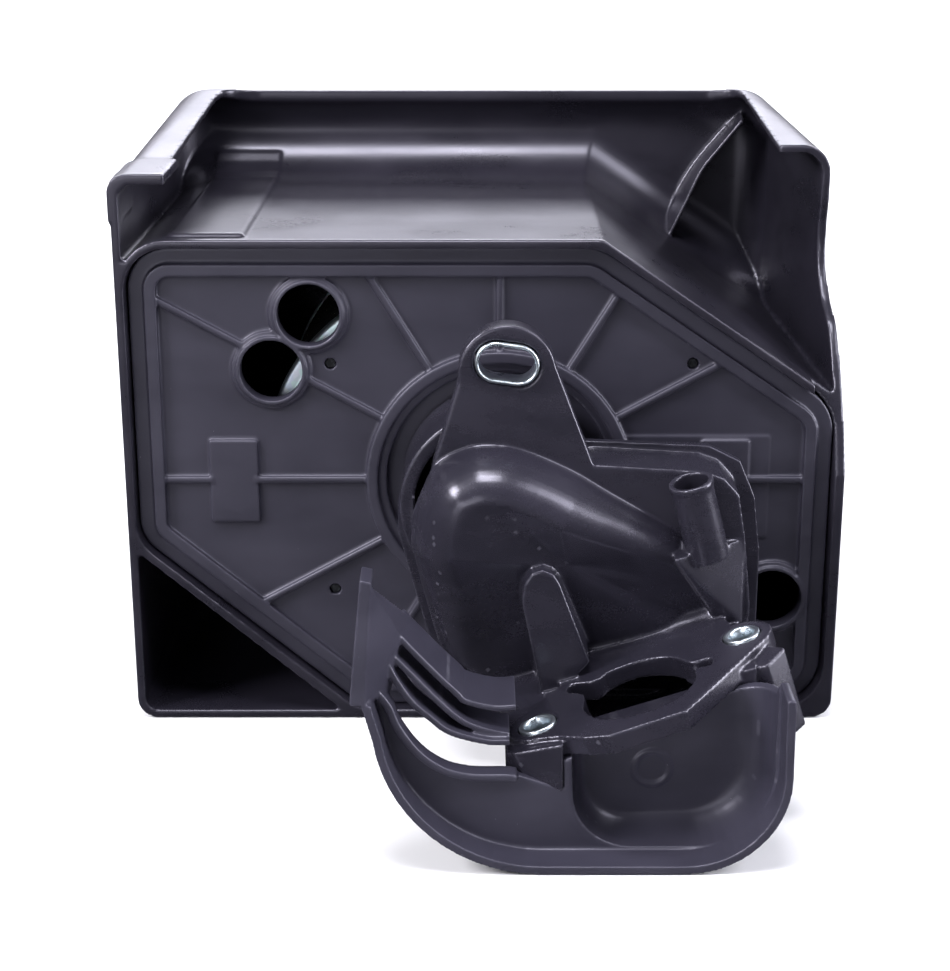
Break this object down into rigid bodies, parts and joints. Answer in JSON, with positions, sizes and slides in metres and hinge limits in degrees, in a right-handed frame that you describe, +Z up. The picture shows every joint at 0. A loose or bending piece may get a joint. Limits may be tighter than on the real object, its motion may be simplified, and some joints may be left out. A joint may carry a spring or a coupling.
{
  "type": "air filter housing",
  "caption": "Small-engine air filter housing: black shell on a hexagonal base plate with a carburettor elbow and guard, holding a pleated paper and foam element on a stud",
  "frame": {"origin": "centre of the underside of the closed housing: bounding box centre in x and y, z = 0 on the face it stands on", "axes": "+Y runs along the stud from the carburettor side into the cover, +X to the right seen from the carburettor side, +Z up"},
  "size_m": [0.2093, 0.238, 0.174],
  "materials": {
    "base_plate": "satin moulded black",
    "intake_elbow": "satin moulded black",
    "carburetor_guard": "satin moulded black",
    "tab_sleeve": "zinc plated",
    "flange_sleeve_left": "zinc plated",
    "flange_sleeve_right": "zinc plated",
    "center_stud": "zinc plated",
    "stud_lock_nut": "zinc plated",
    "elbow_gasket": "matte black",
    "plate_seal": "matte black",
    "element_seat": "galvanised sheet",
    "base_screw_1": "zinc plated",
    "base_screw_2": "zinc plated",
    "base_screw_3": "zinc plated",
    "base_screw_4": "zinc plated",
    "cover_shell": "satin moulded black",
    "cover_grommet": "matte black",
    "cover_washer": "zinc plated",
    "cover_knob": "fine textured black",
    "knob_insert": "turned brass",
    "element_outlet_cap": "galvanised sheet",
    "element_end_cap": "galvanised sheet",
    "pleated_paper": "resin-treated amber paper",
    "foam_sleeve": "open-cell foam",
    "element_gasket": "matte black",
    "element_washer": "matte black",
    "element_wing_nut": "zinc plated"
  },
  "bodies": {
    "housing": {"base_plate": "base_plate", "intake_elbow": "intake_elbow", "carburetor_guard": "carburetor_guard", "tab_sleeve": "tab_sleeve", "flange_sleeve_left": "flange_sleeve_left", "flange_sleeve_right": "flange_sleeve_right", "center_stud": "center_stud", "stud_lock_nut": "stud_lock_nut", "elbow_gasket": "elbow_gasket", "plate_seal": "plate_seal", "element_seat": "element_seat", "base_screw_1": "base_screw_1", "base_screw_2": "base_screw_2", "base_screw_3": "base_screw_3", "base_screw_4": "base_screw_4"},
    "cover": {"cover_shell": "cover_shell", "cover_grommet": "cover_grommet", "cover_washer": "cover_washer"},
    "knob": {"cover_knob": "cover_knob", "knob_insert": "knob_insert"},
    "element": {"element_outlet_cap": "element_outlet_cap", "element_end_cap": "element_end_cap", "pleated_paper": "pleated_paper", "foam_sleeve": "foam_sleeve", "element_gasket": "element_gasket", "element_washer": "element_washer"},
    "element_nut": {"element_wing_nut": "element_wing_nut"}
  },
  "joints": [
    {"name": "cover_slide", "type": "slide", "parent": "housing", "child": "cover", "axis": [0, 1, 0], "range_m": [0, 0.26]},
    {"name": "cover_knob_spin", "type": "hinge", "parent": "cover", "child": "knob", "pos_m": [0.0041, 0.11, 0.074], "axis": [0, 1, 0], "continuous": true},
    {"name": "element_slide", "type": "slide", "parent": "housing", "child": "element", "axis": [0, 1, 0], "range_m": [0, 0.13]},
    {"name": "element_nut_spin", "type": "hinge", "parent": "element", "child": "element_nut", "pos_m": [0.0041, 0.083, 0.074], "axis": [0, 1, 0], "continuous": true}
  ],
  "couplings": [
    {"joint": "element_slide", "follows": "cover_slide", "ratio": 0.5}
  ]
}
